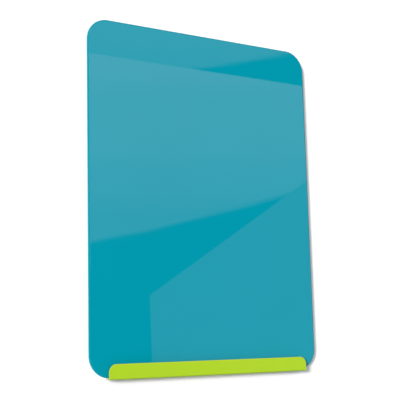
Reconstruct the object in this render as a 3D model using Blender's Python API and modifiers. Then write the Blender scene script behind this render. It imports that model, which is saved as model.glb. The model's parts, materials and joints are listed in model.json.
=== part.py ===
# Magnetic dry-erase board for a wall, with a marker tray, in metres.
#
# +Z is up, +X is to the right of someone who faces the board, and the wall is the plane y = 0.
# The board is on the -Y side of it. The origin is the middle of the wall rail's back face.
# A painted steel pan is folded over a paper core and a back sheet. Channels, bonded to the
# back sheet and tied by gussets, carry two hangers at the top and the tray at the bottom.
# The hangers hook over a rail that stays on the wall, so the board lifts off upwards.

from math import cos, pi, sin

import bmesh
import bpy
from mathutils import Matrix, Vector

# Writing board
BOARD_WIDTH = 0.914
BOARD_HEIGHT = 1.219
BOARD_DEPTH = 0.009
CORNER_RADIUS = 0.075
PANEL_SHEET = 0.0006
HEM_WIDTH = 0.012
FRONT_RIM_RADIUS = 0.0025
BACK_RIM_RADIUS = 0.001
BACK_SHEET = 0.0004

# Channels and gussets behind the board
FRAME_INSET = 0.038
CHANNEL_WIDTH = 0.030
CHANNEL_DEPTH = 0.010
CHANNEL_SHEET = 0.001
CHANNEL_LIP = 0.008
CHANNEL_BEND = 0.0012
GUSSET_LEG = 0.080
GUSSET_MARGIN = 0.002
GUSSET_SHEET = 0.0015
GUSSET_RIVET_START = 0.008
GUSSET_RIVET_EDGE = 0.012

# Hangers on the board and the rail on the wall
WALL_STANDOFF = 0.0075
CLEAT_SHEET = 0.0015
CLEAT_CLEARANCE = 0.0005
RAIL_END = 0.040
RAIL_FLANGE = 0.028
SLOT_LENGTH = 0.014
SLOT_WIDTH = 0.006
SLOT_END = 0.060
SLOT_COUNT = 4
HOOK_DEPTH = 0.011
HOOK_CLEARANCE = 0.001
HANGER_LENGTH = 0.060
HANGER_FLANGE = 0.024
HANGER_INSET = 0.227
HANGER_RIVET_EDGE = 0.012

# Marker tray
TRAY_INSET = 0.059
TRAY_DEPTH = 0.020
TRAY_LIP_HEIGHT = 0.0505
TRAY_LIP_CORNER = 0.027
TRAY_SHEET = 0.002
TRAY_BEND = 0.004
TRAY_DROP = 0.0023
TRAY_FLANGE_CLEARANCE = 0.019
TRAY_SCREW_END = 0.035
TRAY_SCREW_COUNT = 4

# Wall bumpers
BUMPER_SIZE = 0.024
BUMPER_CORNER = 0.006
BUMPER_RIM = 0.001
BUMPER_CLEARANCE = 0.020

# Blind rivets
RIVET_RADIUS = 0.0016
RIVET_HEAD_RADIUS = 0.0038
RIVET_HEAD_HEIGHT = 0.0011
RIVET_BULB_RADIUS = 0.0024
RIVET_BULB_LENGTH = 0.003

# Tray screws and the rivet nuts that take them
SCREW_RADIUS = 0.002
SCREW_HEAD_RADIUS = 0.0038
SCREW_HEAD_HEIGHT = 0.0022
SCREW_LENGTH = 0.0095
NUT_RADIUS = 0.0032
NUT_LIP_RADIUS = 0.0046
NUT_LIP_SHEET = 0.0006
NUT_LENGTH = 0.0075

# Gap between neighbours, how far a cut runs past what it cuts, and how near points are merged
FIT_GAP = 0.0003
CUT_OVERRUN = 0.002
MERGE_DISTANCE = 0.00001

# Smoothness of round shapes
CORNER_STEPS = 14
BUMPER_STEPS = 4
LIP_CORNER_STEPS = 10
RIM_STEPS = 3
BEND_STEPS = 4
ROUND_STEPS = 12
DOME_STEPS = 3
SLOT_STEPS = 8

# Depths, counted from the wall
frame_back = -WALL_STANDOFF
frame_front = frame_back - CHANNEL_DEPTH
sheet_back = frame_front - FIT_GAP
sheet_front = sheet_back - BACK_SHEET
panel_back = sheet_back + FIT_GAP + PANEL_SHEET
panel_front = panel_back - BOARD_DEPTH
core_back = sheet_front - FIT_GAP
core_front = panel_front + PANEL_SHEET + FIT_GAP
plate_front = frame_back + FIT_GAP

# Heights, counted from the middle of the wall rail's flange
rail_step_top = RAIL_FLANGE / 2 + CLEAT_SHEET / 2
rail_lip_top = rail_step_top + HOOK_CLEARANCE + HOOK_DEPTH - FIT_GAP
hanger_step = rail_lip_top + FIT_GAP + CLEAT_SHEET / 2
top_rail_height = hanger_step + HANGER_FLANGE / 2
board_top = top_rail_height + CHANNEL_WIDTH / 2 + FRAME_INSET
board_bottom = board_top - BOARD_HEIGHT
board_middle = (board_top + board_bottom) / 2
bottom_rail_height = board_bottom + FRAME_INSET + CHANNEL_WIDTH / 2
bumper_height = board_bottom + FRAME_INSET + GUSSET_LEG + BUMPER_CLEARANCE + BUMPER_SIZE / 2

# Places across and along the board
frame_half_width = BOARD_WIDTH / 2 - FRAME_INSET
frame_half_height = BOARD_HEIGHT / 2 - FRAME_INSET
stile_offset = frame_half_width - CHANNEL_WIDTH / 2
rail_channel_length = 2 * (frame_half_width - CHANNEL_WIDTH - FIT_GAP)
stile_length = 2 * frame_half_height
hanger_spacing = BOARD_WIDTH - 2 * HANGER_INSET
wall_rail_length = hanger_spacing + HANGER_LENGTH + 2 * RAIL_END
slot_pitch = (wall_rail_length - 2 * SLOT_END) / (SLOT_COUNT - 1)
tray_length = BOARD_WIDTH - 2 * TRAY_INSET
tray_flange_length = 2 * (frame_half_width - GUSSET_LEG - TRAY_FLANGE_CLEARANCE)
tray_screw_pitch = (tray_flange_length - 2 * TRAY_SCREW_END) / (TRAY_SCREW_COUNT - 1)

# Colour, roughness and metallic value of each kind of surface
FINISHES = {
    "teal_paint": ((0.0006, 0.3185, 0.4233, 1), 0.08, 0.0),
    "lime_powder_coat": ((0.462, 0.686, 0.033, 1), 0.35, 0.0),
    "paper_core": ((0.35, 0.24, 0.14, 1), 0.90, 0.0),
    "galvanised_steel": ((0.52, 0.54, 0.55, 1), 0.42, 0.9),
    "zinc_plate": ((0.62, 0.63, 0.64, 1), 0.30, 1.0),
    "rubber": ((0.03, 0.03, 0.032, 1), 0.80, 0.0),
}


def clear_scene():
    for item in list(bpy.data.objects):
        bpy.data.objects.remove(item, do_unlink=True)


def new_collection(name):
    group = bpy.data.collections.new(name)
    bpy.context.scene.collection.children.link(group)
    return group


def finish(item, kind):
    # Gives the object a material of its own, in the colour of its kind.
    colour, roughness, metallic = FINISHES[kind]
    material = bpy.data.materials.new(item.name + "_" + kind)
    material.use_nodes = True
    shader = material.node_tree.nodes["Principled BSDF"]
    shader.inputs["Base Color"].default_value = colour
    shader.inputs["Roughness"].default_value = roughness
    shader.inputs["Metallic"].default_value = metallic
    material.diffuse_color = colour
    item.data.materials.clear()
    item.data.materials.append(material)


def mesh_object(name, mesh_maker, group):
    mesh = bpy.data.meshes.new(name)
    mesh_maker.to_mesh(mesh)
    mesh_maker.free()
    item = bpy.data.objects.new(name, mesh)
    group.objects.link(item)
    return item


def cut(item, cutter):
    # Takes the cutter's shape out of the object.
    cutter.hide_render = True
    cutter.display_type = "WIRE"
    modifier = item.modifiers.new(cutter.name, "BOOLEAN")
    modifier.operation = "DIFFERENCE"
    modifier.solver = "EXACT"
    modifier.object = cutter


def smooth(item, angle=pi / 6):
    item.data.shade_smooth()
    item.data.set_sharp_from_angle(angle=angle)


def round_rim(maker, depth, radius):
    # Rounds the outline edges of a plate that lie at one depth.
    if radius <= 0:
        return
    edges = [e for e in maker.edges if all(abs(v.co.y - depth) < MERGE_DISTANCE for v in e.verts)]
    bmesh.ops.bevel(maker, geom=edges, offset=radius, segments=RIM_STEPS, profile=0.5, affect="EDGES")


def rounded_plate(name, group, size, corner, steps, depths, rims):
    # A plate in the XZ plane: its width and height, corner radius, front and back depth and rim radii.
    width, height = size
    front, back = depths
    maker = bmesh.new()
    bmesh.ops.create_cube(maker, size=1)
    bmesh.ops.scale(maker, vec=(width, back - front, height), verts=maker.verts)
    bmesh.ops.translate(maker, vec=(0, (front + back) / 2, 0), verts=maker.verts)
    upright = [e for e in maker.edges if abs(e.verts[0].co.y - e.verts[1].co.y) > (back - front) / 2]
    bmesh.ops.bevel(maker, geom=upright, offset=corner, segments=steps, profile=0.5, affect="EDGES")
    for depth, rim in zip(depths, rims):
        round_rim(maker, depth, rim)
    bmesh.ops.recalc_face_normals(maker, faces=maker.faces)
    return mesh_object(name, maker, group)


def board_plate(name, group, inset, depths, rims=(0, 0)):
    # A plate that follows the board's outline at an even distance inside it.
    size = (BOARD_WIDTH - 2 * inset, BOARD_HEIGHT - 2 * inset)
    plate = rounded_plate(name, group, size, CORNER_RADIUS - inset, CORNER_STEPS, depths, rims)
    plate.location.z = board_middle
    return plate


def bend_path(corners, radius):
    # Replaces each inner corner of a folded section by an arc that meets both legs.
    points = [Vector(corners[0])]
    for before, here, after in zip(corners, corners[1:], corners[2:]):
        here = Vector(here)
        leg_in = Vector(before) - here
        leg_out = Vector(after) - here
        reach = min(radius, leg_in.length / 2, leg_out.length / 2)
        side_in = leg_in.normalized()
        side_out = leg_out.normalized()
        centre = here + (side_in + side_out) * reach
        for step in range(BEND_STEPS + 1):
            turn = step / BEND_STEPS * pi / 2
            points.append(centre - side_out * reach * cos(turn) - side_in * reach * sin(turn))
    points.append(Vector(corners[-1]))
    return points


def folded_sheet(name, group, corners, bend, sheet, length):
    # A sheet folded along X: the section's middle line in (y, z), drawn out and given its thickness.
    maker = bmesh.new()
    rows = []
    for point in bend_path(corners, bend):
        ends = (-length / 2, length / 2)
        rows.append([maker.verts.new((x, point[0], point[1])) for x in ends])
    for row, following in zip(rows, rows[1:]):
        maker.faces.new((row[0], row[1], following[1], following[0]))
    bmesh.ops.remove_doubles(maker, verts=maker.verts, dist=MERGE_DISTANCE)
    item = mesh_object(name, maker, group)
    wall = item.modifiers.new("sheet", "SOLIDIFY")
    wall.thickness = sheet
    wall.offset = 0
    wall.use_even_offset = True
    smooth(item)
    return item


def outline_solid(name, group, outline, front, back):
    # A flat outline in (x, z), drawn out between two depths.
    curve = bpy.data.curves.new(name + "_outline", "CURVE")
    curve.dimensions = "2D"
    curve.fill_mode = "BOTH"
    curve.extrude = (back - front) / 2
    spline = curve.splines.new("POLY")
    spline.points.add(len(outline) - 1)
    for point, (x, z) in zip(spline.points, outline):
        point.co = (x, z, 0, 1)
    spline.use_cyclic_u = True
    drawing = bpy.data.objects.new(name + "_outline", curve)
    group.objects.link(drawing)
    upright = Matrix.Rotation(pi / 2, 4, "X")
    drawing.matrix_world = Matrix.Translation((0, (front + back) / 2, 0)) @ upright
    bpy.context.view_layer.update()
    seen = drawing.evaluated_get(bpy.context.evaluated_depsgraph_get())
    maker = bmesh.new()
    maker.from_mesh(bpy.data.meshes.new_from_object(seen))
    bmesh.ops.transform(maker, matrix=drawing.matrix_world, verts=maker.verts)
    bmesh.ops.remove_doubles(maker, verts=maker.verts, dist=MERGE_DISTANCE)
    bmesh.ops.recalc_face_normals(maker, faces=maker.faces)
    bpy.data.objects.remove(drawing, do_unlink=True)
    return mesh_object(name, maker, group)


def round_holes(name, group, places, radius, front, back):
    # One cutter for a row of round holes along Y; places are (x, z).
    maker = bmesh.new()
    for x, z in places:
        turned = Matrix.Translation((x, (front + back) / 2, z)) @ Matrix.Rotation(pi / 2, 4, "X")
        bmesh.ops.create_cone(
            maker, cap_ends=True, segments=ROUND_STEPS, radius1=radius, radius2=radius,
            depth=back - front, matrix=turned)
    return mesh_object(name, maker, group)


def turned_copies(name, group, places, seat, profile):
    # One turned fastener along Y at each place in (x, z). All share a mesh.
    # The profile is (radius, distance from the seat); one that keeps off the axis is a ring.
    maker = bmesh.new()
    line = [maker.verts.new((radius, along, 0)) for radius, along in profile]
    edges = [maker.edges.new(pair) for pair in zip(line, line[1:])]
    if min(radius for radius, _ in profile) > 0:
        edges.append(maker.edges.new((line[-1], line[0])))
    bmesh.ops.spin(
        maker, geom=line + edges, cent=(0, 0, 0), axis=(0, 1, 0), angle=2 * pi,
        steps=ROUND_STEPS, use_merge=True)
    bmesh.ops.remove_doubles(maker, verts=maker.verts, dist=MERGE_DISTANCE)
    bmesh.ops.recalc_face_normals(maker, faces=maker.faces)
    copies = [mesh_object(name + "_1", maker, group)]
    smooth(copies[0], angle=pi / 5)
    finish(copies[0], "zinc_plate")
    for index in range(2, len(places) + 1):
        copy = bpy.data.objects.new(name + "_" + str(index), copies[0].data)
        group.objects.link(copy)
        copies.append(copy)
    for copy, (x, z) in zip(copies, places):
        copy.location = (x, seat, z)
    return copies


def domed_head(radius, height):
    # Points of a low domed head, from its top to its rim, above its seat.
    turns = [step / DOME_STEPS * pi / 2 for step in range(DOME_STEPS + 1)]
    return [(radius * sin(turn), FIT_GAP + height * cos(turn)) for turn in turns]


def evenly_spaced(count, pitch):
    return [(index - (count - 1) / 2) * pitch for index in range(count)]


def make_panel(parts, cutters):
    # Painted steel pan: a flat face, a low wall all round and a hem folded over the back.
    panel = board_plate(
        "writing_panel", parts, 0, (panel_front, panel_back), (FRONT_RIM_RADIUS, BACK_RIM_RADIUS))
    inner_rims = [max(rim - PANEL_SHEET, 0) for rim in (FRONT_RIM_RADIUS, BACK_RIM_RADIUS)]
    inside = board_plate(
        "panel_inside", cutters, PANEL_SHEET, (panel_front + PANEL_SHEET, panel_back - PANEL_SHEET),
        inner_rims)
    mouth_depths = ((panel_front + panel_back) / 2, panel_back + CUT_OVERRUN)
    mouth = board_plate("panel_mouth", cutters, HEM_WIDTH, mouth_depths)
    cut(panel, inside)
    cut(panel, mouth)
    smooth(panel)
    finish(panel, "teal_paint")
    return panel


def make_core(parts):
    # Stiff paper core that fills the pan.
    inset = PANEL_SHEET + FIT_GAP
    front_rim = max(FRONT_RIM_RADIUS - inset, 0)
    core = board_plate("core_board", parts, inset, (core_front, core_back), (front_rim, 0))
    finish(core, "paper_core")
    return core


def make_back_sheet(parts):
    # Thin galvanised sheet that closes the back, held by the pan's hem.
    sheet = board_plate("back_sheet", parts, PANEL_SHEET + FIT_GAP, (sheet_front, sheet_back))
    finish(sheet, "galvanised_steel")
    return sheet


def channel(name, parts, length):
    # Lipped channel along X: its web faces the wall, and its lips are bonded to the back sheet.
    side = CHANNEL_WIDTH / 2 - CHANNEL_SHEET / 2
    lip = CHANNEL_WIDTH / 2 - CHANNEL_LIP
    lip_depth = frame_front + CHANNEL_SHEET / 2
    web_depth = frame_back - CHANNEL_SHEET / 2
    section = [
        (lip_depth, lip), (lip_depth, side), (web_depth, side),
        (web_depth, -side), (lip_depth, -side), (lip_depth, -lip)]
    item = folded_sheet(name, parts, section, CHANNEL_BEND, CHANNEL_SHEET, length)
    finish(item, "galvanised_steel")
    return item


def gusset_rivet_offsets():
    # Where a gusset's rivets are, counted from the frame's outer corner along both legs.
    middle = CHANNEL_WIDTH / 2
    near = CHANNEL_WIDTH + GUSSET_RIVET_START
    far = GUSSET_LEG - GUSSET_RIVET_EDGE
    return [(near, middle), (far, middle), (middle, near), (middle, far)]


def corner_places(side, level):
    # Rivet places in (x, z) for the corner on one side (-1 or 1) and level (-1 or 1).
    places = []
    for across, along in gusset_rivet_offsets():
        x = side * (frame_half_width - across)
        z = board_middle + level * (frame_half_height - along)
        places.append((x, z))
    return places


def make_frame(parts, cutters):
    # Two rails, two stiles and a brace, each drilled for what is riveted or screwed to it.
    hole_front = frame_back - CHANNEL_SHEET - CUT_OVERRUN
    hole_back = frame_back + CUT_OVERRUN
    rivet_hole = RIVET_RADIUS + FIT_GAP
    pieces = {}

    rails = {"top_rail": (top_rail_height, 1), "bottom_rail": (bottom_rail_height, -1)}
    for name, (height, level) in rails.items():
        rail = channel(name, parts, rail_channel_length)
        rail.location.z = height
        places = []
        for side in (-1, 1):
            places += corner_places(side, level)[:2]
        if name == "top_rail":
            places += hanger_rivet_places()
        cut(rail, round_holes(name + "_holes", cutters, places, rivet_hole, hole_front, hole_back))
        pieces[name] = rail

    nut_hole = NUT_RADIUS + FIT_GAP
    cut(pieces["bottom_rail"], round_holes(
        "rivet_nut_holes", cutters, tray_screw_places(), nut_hole, hole_front, hole_back))

    for name, side in {"left_stile": -1, "right_stile": 1}.items():
        stile = channel(name, parts, stile_length)
        stile.rotation_euler.y = pi / 2
        stile.location = (side * stile_offset, 0, board_middle)
        places = []
        for level in (-1, 1):
            places += corner_places(side, level)[2:]
        cut(stile, round_holes(name + "_holes", cutters, places, rivet_hole, hole_front, hole_back))
        pieces[name] = stile

    brace = channel("centre_brace", parts, rail_channel_length)
    brace.location.z = board_middle
    pieces["centre_brace"] = brace
    return list(pieces.values())


def make_gussets(parts, cutters):
    # Flat corner plates that tie each rail to its stile.
    edge = GUSSET_MARGIN
    inner = CHANNEL_WIDTH - GUSSET_MARGIN
    shape = [
        (edge, edge), (GUSSET_LEG, edge), (GUSSET_LEG, inner), (inner, GUSSET_LEG), (edge, GUSSET_LEG)]
    plate_back = plate_front + GUSSET_SHEET
    gussets = []
    for level_name, level in {"top": 1, "bottom": -1}.items():
        for side_name, side in {"left": -1, "right": 1}.items():
            name = "gusset_" + level_name + "_" + side_name
            outline = []
            for across, along in shape:
                x = side * (frame_half_width - across)
                z = board_middle + level * (frame_half_height - along)
                outline.append((x, z))
            plate = outline_solid(name, parts, outline, plate_front, plate_back)
            cut(plate, round_holes(
                name + "_holes", cutters, corner_places(side, level), RIVET_RADIUS + FIT_GAP,
                plate_front - CUT_OVERRUN, plate_back + CUT_OVERRUN))
            finish(plate, "zinc_plate")
            gussets.append(plate)
    return gussets


def make_rivets(name, parts, places, plate_sheet):
    # Blind rivets through a plate and a channel's web, with the set bulb behind the web.
    grip = -(plate_sheet + FIT_GAP + CHANNEL_SHEET + FIT_GAP)
    end = grip - RIVET_BULB_LENGTH
    profile = domed_head(RIVET_HEAD_RADIUS, RIVET_HEAD_HEIGHT)
    profile += [
        (RIVET_RADIUS, FIT_GAP), (RIVET_RADIUS, grip), (RIVET_BULB_RADIUS, grip),
        (RIVET_BULB_RADIUS, end + RIVET_RADIUS), (RIVET_RADIUS, end), (0, end)]
    return turned_copies(name, parts, places, plate_front + plate_sheet, profile)


def make_gusset_rivets(parts):
    places = []
    for level in (-1, 1):
        for side in (-1, 1):
            places += corner_places(side, level)
    return make_rivets("gusset_rivet", parts, places, GUSSET_SHEET)


def hanger_rivet_places():
    places = []
    for side in (-1, 1):
        for offset in evenly_spaced(2, HANGER_LENGTH - 2 * HANGER_RIVET_EDGE):
            places.append((side * hanger_spacing / 2 + offset, top_rail_height))
    return places


def make_hangers(parts, cutters):
    # Hooks on the top rail: a riveted flange, a step towards the wall and a lip that points down.
    lip_depth = -(CLEAT_CLEARANCE + CLEAT_SHEET / 2)
    flange_depth = plate_front + CLEAT_SHEET / 2
    section = [
        (lip_depth, hanger_step - CLEAT_SHEET / 2 - HOOK_DEPTH), (lip_depth, hanger_step),
        (flange_depth, hanger_step), (flange_depth, hanger_step + HANGER_FLANGE)]
    hangers = []
    for name, side in {"hanger_left": -1, "hanger_right": 1}.items():
        hanger = folded_sheet(
            name, parts, section, CLEAT_SHEET / 2 + CLEAT_CLEARANCE, CLEAT_SHEET, HANGER_LENGTH)
        hanger.location.x = side * hanger_spacing / 2
        places = [place for place in hanger_rivet_places() if place[0] * side > 0]
        cut(hanger, round_holes(
            name + "_holes", cutters, places, RIVET_RADIUS + FIT_GAP,
            plate_front - CUT_OVERRUN, plate_front + CLEAT_SHEET + CUT_OVERRUN))
        finish(hanger, "zinc_plate")
        hangers.append(hanger)
    return hangers


def make_wall_rail(parts, cutters):
    # Rail that is screwed to the wall: its lip points up, in front of the gap that takes the hooks.
    flange_depth = -CLEAT_SHEET / 2
    lip_depth = -(2 * CLEAT_CLEARANCE + CLEAT_SHEET + CLEAT_SHEET / 2)
    step = RAIL_FLANGE / 2
    section = [
        (flange_depth, -step), (flange_depth, step), (lip_depth, step), (lip_depth, rail_lip_top)]
    rail = folded_sheet(
        "wall_rail", parts, section, CLEAT_SHEET / 2 + CLEAT_CLEARANCE, CLEAT_SHEET, wall_rail_length)
    for index, x in enumerate(evenly_spaced(SLOT_COUNT, slot_pitch)):
        cut(rail, slot_cutter("wall_slot_" + str(index + 1), cutters, x))
    finish(rail, "zinc_plate")
    return rail


def slot_cutter(name, cutters, centre):
    # A screw slot along X with round ends, through the rail's flange.
    radius = SLOT_WIDTH / 2
    reach = SLOT_LENGTH / 2 - radius
    outline = []
    for side in (1, -1):
        for step in range(SLOT_STEPS + 1):
            turn = side * (step / SLOT_STEPS - 1 / 2) * pi
            outline.append((centre + side * (reach + radius * cos(turn)), radius * sin(turn)))
    return outline_solid(name, cutters, outline, -CLEAT_SHEET - CUT_OVERRUN, CUT_OVERRUN)


def tray_flange_front():
    # The tray's flange lies on the collars of the rivet nuts, behind the bottom rail.
    return plate_front + NUT_LIP_SHEET + FIT_GAP


def tray_screw_places():
    return [(x, bottom_rail_height) for x in evenly_spaced(TRAY_SCREW_COUNT, tray_screw_pitch)]


def make_tray(parts, cutters):
    # One folded sheet: a lip in front, a floor under the board's edge and a flange behind it.
    floor_top = board_bottom - TRAY_DROP
    floor = floor_top - TRAY_SHEET / 2
    lip_depth = panel_front - TRAY_DEPTH - TRAY_SHEET / 2
    flange_depth = tray_flange_front() + TRAY_SHEET / 2
    lip_top = floor_top - TRAY_SHEET + TRAY_LIP_HEIGHT
    flange_top = bottom_rail_height + CHANNEL_WIDTH / 2
    section = [(lip_depth, lip_top), (lip_depth, floor), (flange_depth, floor), (flange_depth, flange_top)]
    tray = folded_sheet("marker_tray", parts, section, TRAY_BEND, TRAY_SHEET, tray_length)
    round_lip_corners(tray, lip_top)

    # The flange is shorter than the lip, so the sheet behind the board is cut back at both ends.
    notch_length = (tray_length - tray_flange_length) / 2
    for name, side in {"tray_notch_left": -1, "tray_notch_right": 1}.items():
        maker = bmesh.new()
        bmesh.ops.create_cube(maker, size=1)
        notch_back = flange_depth + TRAY_SHEET / 2 + CUT_OVERRUN
        notch_top = flange_top + CUT_OVERRUN
        notch_bottom = floor - TRAY_SHEET / 2 - CUT_OVERRUN
        size = (notch_length + CUT_OVERRUN, notch_back - panel_back, notch_top - notch_bottom)
        bmesh.ops.scale(maker, vec=size, verts=maker.verts)
        notch = mesh_object(name, maker, cutters)
        notch_end = (tray_length + CUT_OVERRUN) / 2
        notch.location = (
            side * (notch_end - notch_length / 2), (panel_back + notch_back) / 2,
            (notch_top + notch_bottom) / 2)
        cut(tray, notch)

    cut(tray, round_holes(
        "tray_screw_holes", cutters, tray_screw_places(), SCREW_RADIUS + FIT_GAP,
        flange_depth - TRAY_SHEET / 2 - CUT_OVERRUN, flange_depth + TRAY_SHEET / 2 + CUT_OVERRUN))
    finish(tray, "lime_powder_coat")
    return tray


def round_lip_corners(tray, lip_top):
    # Rounds the two free corners of the lip before the sheet gets its thickness.
    maker = bmesh.new()
    maker.from_mesh(tray.data)
    front = min(v.co.y for v in maker.verts)
    corners = [
        v for v in maker.verts
        if abs(v.co.z - lip_top) < MERGE_DISTANCE and abs(v.co.y - front) < MERGE_DISTANCE]
    bmesh.ops.bevel(
        maker, geom=corners, offset=TRAY_LIP_CORNER, segments=LIP_CORNER_STEPS, profile=0.5,
        affect="VERTICES")
    maker.to_mesh(tray.data)
    maker.free()
    smooth(tray)


def make_tray_nuts(parts):
    # Rivet nuts set in the bottom rail's web, each with a collar and an open bore.
    bore = SCREW_RADIUS + FIT_GAP
    profile = [
        (bore, FIT_GAP + NUT_LIP_SHEET), (NUT_LIP_RADIUS, FIT_GAP + NUT_LIP_SHEET),
        (NUT_LIP_RADIUS, FIT_GAP), (NUT_RADIUS, FIT_GAP), (NUT_RADIUS, -NUT_LENGTH), (bore, -NUT_LENGTH)]
    return turned_copies("tray_rivet_nut", parts, tray_screw_places(), frame_back, profile)


def make_tray_screws(parts):
    # Round-headed machine screws through the tray's flange into the rivet nuts.
    profile = domed_head(SCREW_HEAD_RADIUS, SCREW_HEAD_HEIGHT)
    profile += [(SCREW_RADIUS, FIT_GAP), (SCREW_RADIUS, -SCREW_LENGTH), (0, -SCREW_LENGTH)]
    seat = tray_flange_front() + TRAY_SHEET
    return turned_copies("tray_screw", parts, tray_screw_places(), seat, profile)


def make_bumpers(parts):
    # Rubber pads on the stiles that keep the lower edge as far off the wall as the hangers do.
    bumpers = []
    for name, side in {"bumper_left": -1, "bumper_right": 1}.items():
        pad = rounded_plate(
            name, parts, (BUMPER_SIZE, BUMPER_SIZE), BUMPER_CORNER, BUMPER_STEPS, (plate_front, 0),
            (0, BUMPER_RIM))
        pad.location = (side * stile_offset, 0, bumper_height)
        smooth(pad)
        finish(pad, "rubber")
        bumpers.append(pad)
    return bumpers


def carry(carrier_name, place, pieces, group):
    # Parents the pieces to an empty, and leaves them where they are.
    carrier = bpy.data.objects.new(carrier_name, None)
    carrier.location = place
    group.objects.link(carrier)
    bpy.context.view_layer.update()
    for piece in pieces:
        piece.parent = carrier
        piece.matrix_parent_inverse = carrier.matrix_world.inverted()


def main():
    clear_scene()
    parts = new_collection("magnetic_whiteboard")
    cutters = new_collection("cutters")

    board = [make_panel(parts, cutters), make_core(parts), make_back_sheet(parts)]
    board += make_frame(parts, cutters)
    board += make_gussets(parts, cutters)
    board += make_gusset_rivets(parts)
    board += make_hangers(parts, cutters)
    board += make_rivets("hanger_rivet", parts, hanger_rivet_places(), CLEAT_SHEET)
    board.append(make_tray(parts, cutters))
    board += make_tray_nuts(parts)
    board += make_tray_screws(parts)
    board += make_bumpers(parts)
    rail = make_wall_rail(parts, cutters)

    hook_depth = -(CLEAT_CLEARANCE + CLEAT_SHEET / 2)
    carry("lift_off_slide", (0, hook_depth, rail_lip_top), board, parts)
    carry("wall_mount", (0, 0, 0), [rail], parts)


main()
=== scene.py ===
import json
from math import cos, pi, radians, sin

import bmesh
import bpy
import numpy as np
from mathutils import Matrix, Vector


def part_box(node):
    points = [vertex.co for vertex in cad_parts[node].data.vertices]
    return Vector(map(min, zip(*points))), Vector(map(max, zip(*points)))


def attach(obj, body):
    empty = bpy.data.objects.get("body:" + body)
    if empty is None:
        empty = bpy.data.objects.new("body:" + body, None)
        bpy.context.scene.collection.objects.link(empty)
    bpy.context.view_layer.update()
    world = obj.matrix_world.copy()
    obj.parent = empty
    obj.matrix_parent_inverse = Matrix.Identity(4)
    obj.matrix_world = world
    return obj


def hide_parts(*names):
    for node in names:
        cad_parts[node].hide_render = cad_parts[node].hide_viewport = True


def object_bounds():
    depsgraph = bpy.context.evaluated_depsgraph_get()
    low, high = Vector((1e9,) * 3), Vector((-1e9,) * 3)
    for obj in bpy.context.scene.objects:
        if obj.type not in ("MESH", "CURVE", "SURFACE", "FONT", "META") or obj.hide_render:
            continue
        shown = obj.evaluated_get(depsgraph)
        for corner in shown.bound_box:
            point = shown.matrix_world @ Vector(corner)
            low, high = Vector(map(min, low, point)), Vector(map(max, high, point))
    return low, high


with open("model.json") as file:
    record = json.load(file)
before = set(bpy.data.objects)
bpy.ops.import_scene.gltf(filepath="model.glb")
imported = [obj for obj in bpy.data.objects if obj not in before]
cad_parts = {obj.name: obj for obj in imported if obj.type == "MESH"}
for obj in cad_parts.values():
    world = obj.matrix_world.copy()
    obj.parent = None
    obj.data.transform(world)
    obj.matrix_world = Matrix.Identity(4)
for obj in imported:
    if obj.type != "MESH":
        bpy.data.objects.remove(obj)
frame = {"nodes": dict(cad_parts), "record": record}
cadLow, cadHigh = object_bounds()
print("frame loaded:", len(frame["nodes"]), "nodes")

# Metres, with +Z up, +X to the right, the wall at y = 0 and the room towards -Y.
meshRules = {
    "mergeDistance": 0.000002,   # points nearer than this become one
    "sharpAngle": 38,            # degrees; a sharper fold than this keeps a crisp edge
    "flatWeight": 90,            # how far large faces stay flat up to their edges, of 100
    "edgeSteps": 4,              # rows round a sheet's rounded edge, each side
    "bendSteps": 8,              # rows round a quarter bend
    "edgeRows": (0.0005, 0.0012, 0.0024),   # rows this far behind an edge keep its wear narrow
    "wearAndHighlightWidth": 1.2,            # how far the edge colour reaches in, in sheet thicknesses: wear on zinc and steel, a painted highlight on the lime tray
    "rowDigits": 7,              # decimals of a row's place, so that two equal rows become one
}


# Materials. A finish has noise patterns: waves a metre, detail, stretch (below 1 draws it out along
# that axis), turn in degrees and distortion. A pattern, or another value, then drives by its name
# the layers of colour (the colour, its least and greatest share, and the values at which these
# show), the roughness (lowest, highest, and those values) and the relief (its height in metres).

def fill(tree, socket, value):
    # The value is a number, several numbers or another node's output.
    if isinstance(value, bpy.types.NodeSocket):
        tree.links.new(value, socket)
    else:
        socket.default_value = value


def addNode(tree, kind, values=None, **settings):
    # Values go to the node's sockets, and settings to the node itself.
    node = tree.nodes.new(kind)
    for name, value in settings.items():
        setattr(node, name, value)
    for name, value in (values or {}).items():
        fill(tree, node.inputs[name], value)
    return node


def readNumber(tree, name):
    # A number kept with each point of the mesh, and 0 where the mesh keeps none. "edge" is 1 on a
    # sheet's rounded edges and 0 a few millimetres in. "pieceNumber" counts the new pieces from 0.
    return addNode(tree, "ShaderNodeAttribute", attribute_name=name).outputs["Fac"]


def moved(tree, place, amount, step):
    # The place plus the amount times the step.
    return addNode(tree, "ShaderNodeVectorMath", {0: amount, 1: step, 2: place},
                   operation="MULTIPLY_ADD").outputs["Vector"]


def noisePattern(tree, place, scale, detail, stretch=(1, 1, 1), turn=(0, 0, 0), distortion=0):
    mapping = addNode(tree, "ShaderNodeMapping", {
        "Vector": place, "Scale": stretch, "Rotation": [radians(angle) for angle in turn]})
    return addNode(tree, "ShaderNodeTexNoise", {
        "Vector": mapping.outputs["Vector"], "Scale": scale, "Detail": detail,
        "Distortion": distortion}).outputs["Fac"]


def toRange(tree, value, low=0, high=1, fromLow=0.3, fromHigh=0.7):
    # Most of a noise lies between 0.3 and 0.7, which here becomes low to high.
    return addNode(tree, "ShaderNodeMapRange", {
        "Value": value, "From Min": fromLow, "From Max": fromHigh,
        "To Min": low, "To Max": high}).outputs["Result"]


def calculate(tree, operation, first, second):
    # Held between 0 and 1.
    return addNode(tree, "ShaderNodeMath", {0: first, 1: second},
                   operation=operation, use_clamp=True).outputs["Value"]


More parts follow.
